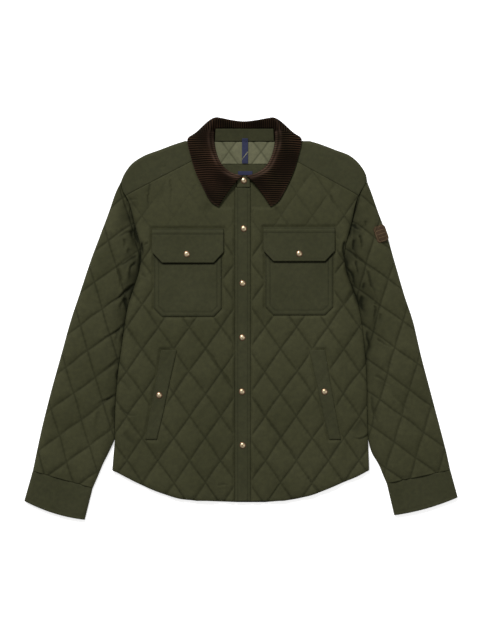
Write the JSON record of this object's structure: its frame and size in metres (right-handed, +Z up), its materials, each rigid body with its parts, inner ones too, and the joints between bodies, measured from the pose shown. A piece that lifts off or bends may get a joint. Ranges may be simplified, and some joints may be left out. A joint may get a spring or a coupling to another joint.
{
  "type": "quilted jacket",
  "caption": "Diamond-quilted field jacket laid flat, with a corduroy collar, snap front, flap chest pockets and slanted hand pockets.",
  "frame": {"origin": "on the table, under the middle of the laid jacket's box", "axes": "+Z up off the table, through the front; +Y towards the collar; +X towards the wearer's left sleeve"},
  "size_m": [0.8656, 0.8014, 0.0237],
  "materials": {
    "shell": "olive dry-waxed cotton, diamond-quilted over thin wadding",
    "shell_plain": "the same olive cotton, unquilted and topstitched",
    "corduroy": "dark brown fine-wale corduroy",
    "lining": "sage quilted lining, slight sheen",
    "navy_tape": "navy woven tape",
    "badge": "plain brown felt with a stitched edge",
    "snap_brass": "antiqued brass snap cap"
  },
  "bodies": {
    "root": {"back": "shell", "front_right": "shell", "front_left": "shell", "yoke_right": "shell_plain", "yoke_left": "shell_plain", "sleeve_right": "shell", "sleeve_left": "shell", "cuff_right": "shell_plain", "cuff_left": "shell_plain", "welt_right": "shell_plain", "welt_left": "shell_plain", "chest_pocket_right": "shell_plain", "chest_pocket_left": "shell_plain", "pocket_flap_right": "shell_plain", "pocket_flap_left": "shell_plain", "placket": "shell_plain", "stand_tab": "shell_plain", "collar": "corduroy", "collar_stand": "shell_plain", "neck_lining": "lining", "neck_facing": "shell_plain", "neck_label": "navy_tape", "hanger_loop": "navy_tape", "sleeve_badge": "badge", "snap_front_1": "snap_brass", "snap_front_2": "snap_brass", "snap_front_3": "snap_brass", "snap_front_4": "snap_brass", "snap_front_5": "snap_brass", "snap_front_6": "snap_brass", "snap_flap_right": "snap_brass", "snap_flap_left": "snap_brass", "snap_welt_right": "snap_brass", "snap_welt_left": "snap_brass"}
  },
  "joints": []
}
